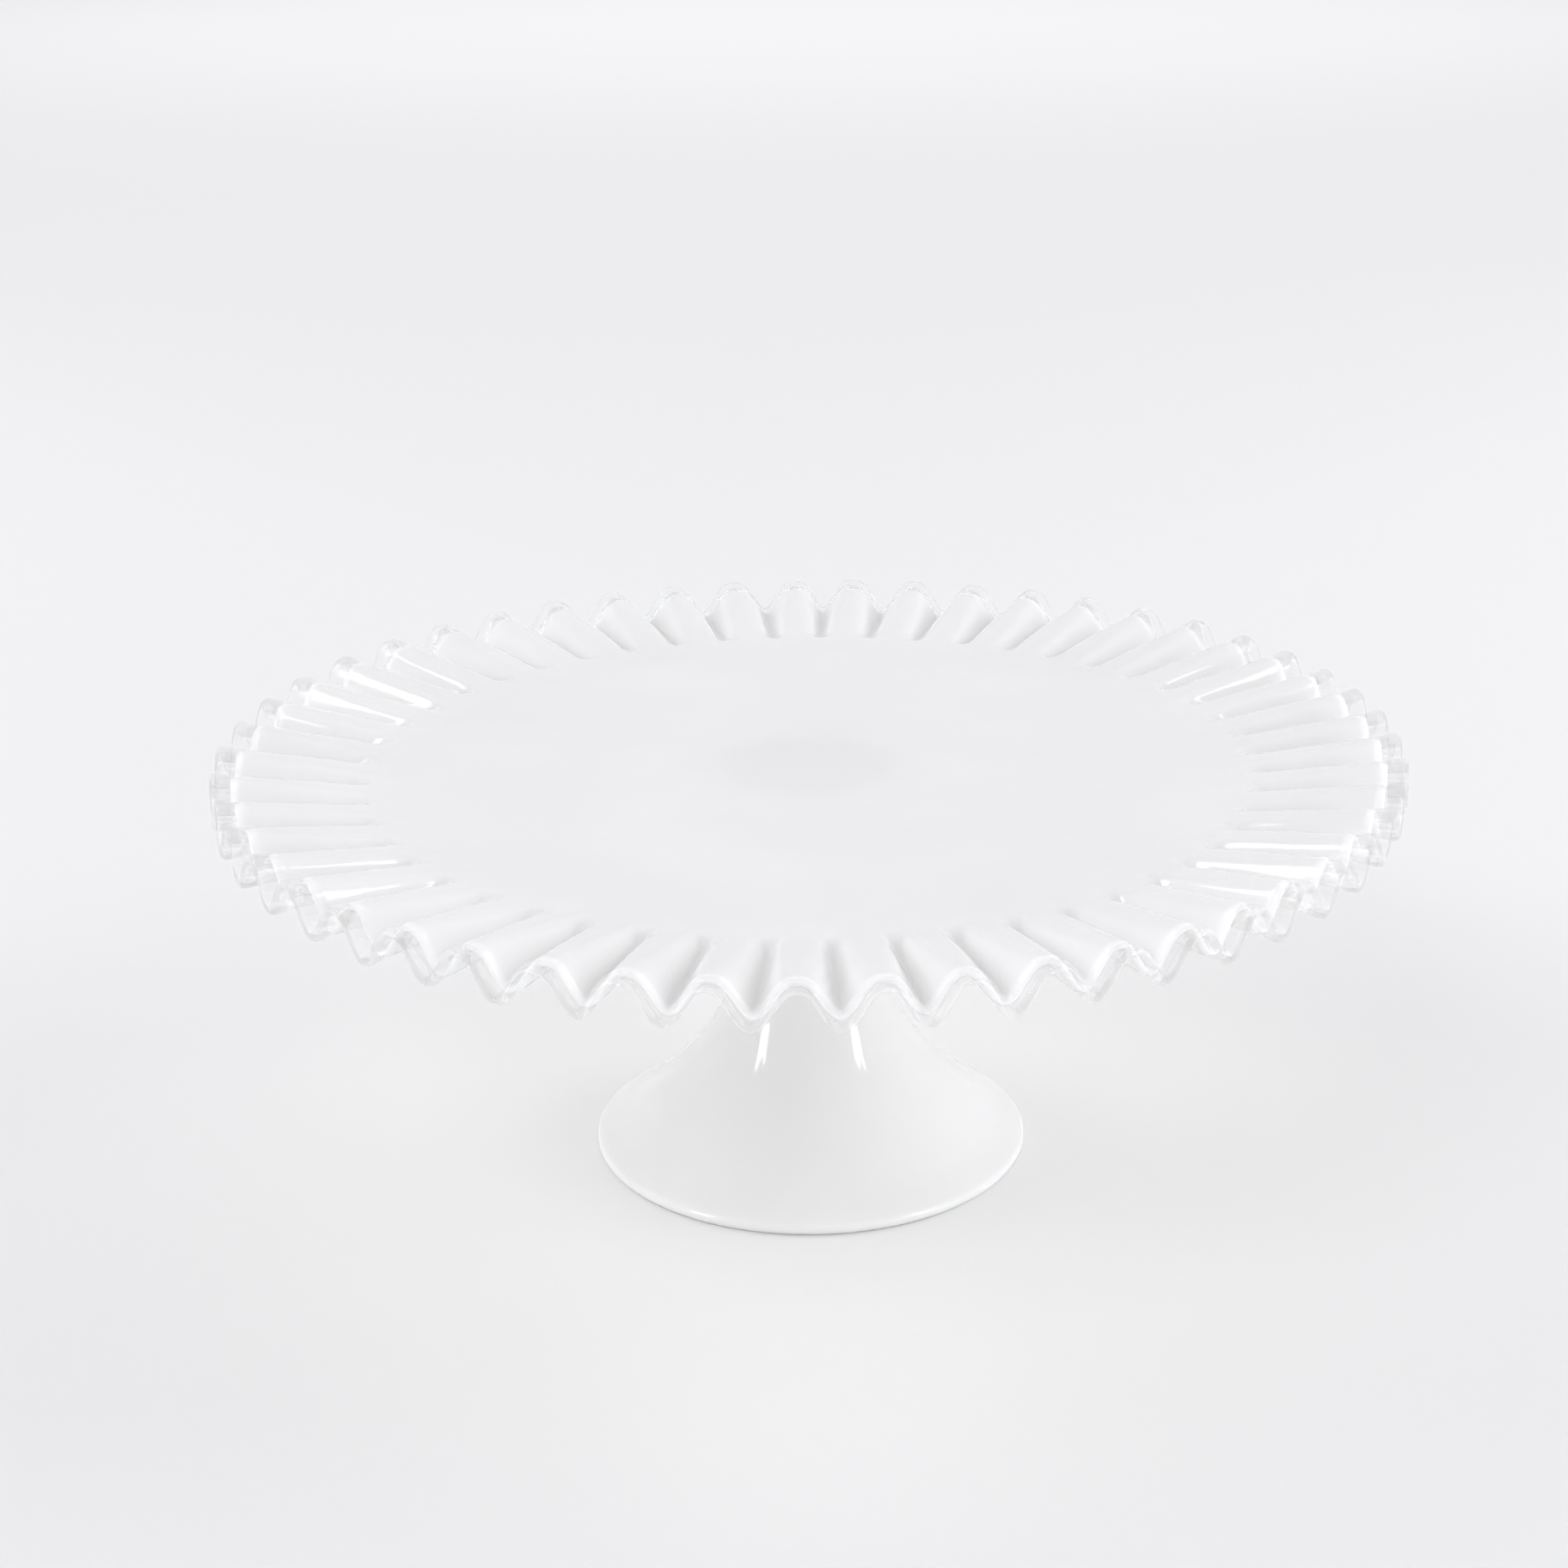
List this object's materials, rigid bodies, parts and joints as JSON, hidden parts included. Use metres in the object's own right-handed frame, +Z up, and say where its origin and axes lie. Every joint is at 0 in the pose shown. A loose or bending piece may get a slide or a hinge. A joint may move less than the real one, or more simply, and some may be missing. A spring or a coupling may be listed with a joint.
{
  "type": "footed cake stand",
  "caption": "Round opal glass cake plate with a flat well, a crimped border and a clear glass edge, on a hollow flared foot.",
  "frame": {"origin": "centre of the foot's base circle, on the table", "axes": "+Z up along the stand's axis; -Y towards the viewer; X across"},
  "size_m": [0.33, 0.33, 0.1206],
  "materials": {
    "opal_plate": "gloss",
    "clear_crest": "gloss",
    "opal_joint": "gloss",
    "opal_foot": "gloss"
  },
  "bodies": {
    "root": {"plate": "opal_plate", "crest": "clear_crest", "joint_wafer": "opal_joint", "foot": "opal_foot"}
  },
  "joints": []
}
